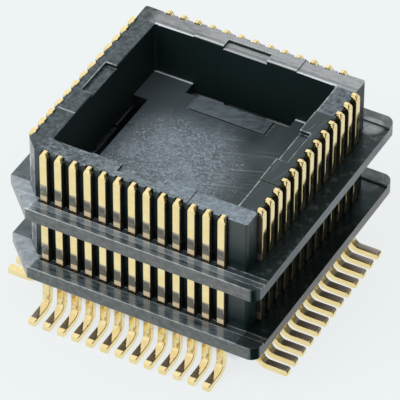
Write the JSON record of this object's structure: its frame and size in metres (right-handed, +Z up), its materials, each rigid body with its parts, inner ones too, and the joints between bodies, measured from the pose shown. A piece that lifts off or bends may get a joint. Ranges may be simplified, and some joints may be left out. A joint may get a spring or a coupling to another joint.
{
  "type": "plcc plug",
  "caption": "Square male chip-carrier plug: two stacked black flanged frames with a cut pin-1 corner, carrying long gold gull-wing contacts on all four sides.",
  "frame": {"origin": "centre of the plug on the plane of the feet's undersides", "axes": "+Z up out of the plug end, -Y towards the front row, pin 1's cut corner at (-X, -Y)"},
  "size_m": [0.0246, 0.0246, 0.0157],
  "materials": {
    "black_plastic": "semi-gloss glass-filled moulding with faint flow and tool marks",
    "gold_plating": "bright gold plating over a drawn copper alloy strip"
  },
  "bodies": {
    "root": {"upper_housing": "black_plastic", "lower_housing": "black_plastic", "contact_front_01": "gold_plating", "contact_front_02": "gold_plating", "contact_front_03": "gold_plating", "contact_front_04": "gold_plating", "contact_front_05": "gold_plating", "contact_front_06": "gold_plating", "contact_front_07": "gold_plating", "contact_front_08": "gold_plating", "contact_front_09": "gold_plating", "contact_front_10": "gold_plating", "contact_front_11": "gold_plating", "contact_front_12": "gold_plating", "contact_front_13": "gold_plating", "contact_right_01": "gold_plating", "contact_right_02": "gold_plating", "contact_right_03": "gold_plating", "contact_right_04": "gold_plating", "contact_right_05": "gold_plating", "contact_right_06": "gold_plating", "contact_right_07": "gold_plating", "contact_right_08": "gold_plating", "contact_right_09": "gold_plating", "contact_right_10": "gold_plating", "contact_right_11": "gold_plating", "contact_right_12": "gold_plating", "contact_right_13": "gold_plating", "contact_back_01": "gold_plating", "contact_back_02": "gold_plating", "contact_back_03": "gold_plating", "contact_back_04": "gold_plating", "contact_back_05": "gold_plating", "contact_back_06": "gold_plating", "contact_back_07": "gold_plating", "contact_back_08": "gold_plating", "contact_back_09": "gold_plating", "contact_back_10": "gold_plating", "contact_back_11": "gold_plating", "contact_back_12": "gold_plating", "contact_back_13": "gold_plating", "contact_left_01": "gold_plating", "contact_left_02": "gold_plating", "contact_left_03": "gold_plating", "contact_left_04": "gold_plating", "contact_left_05": "gold_plating", "contact_left_06": "gold_plating", "contact_left_07": "gold_plating", "contact_left_08": "gold_plating", "contact_left_09": "gold_plating", "contact_left_10": "gold_plating", "contact_left_11": "gold_plating", "contact_left_12": "gold_plating", "contact_left_13": "gold_plating"}
  },
  "joints": []
}
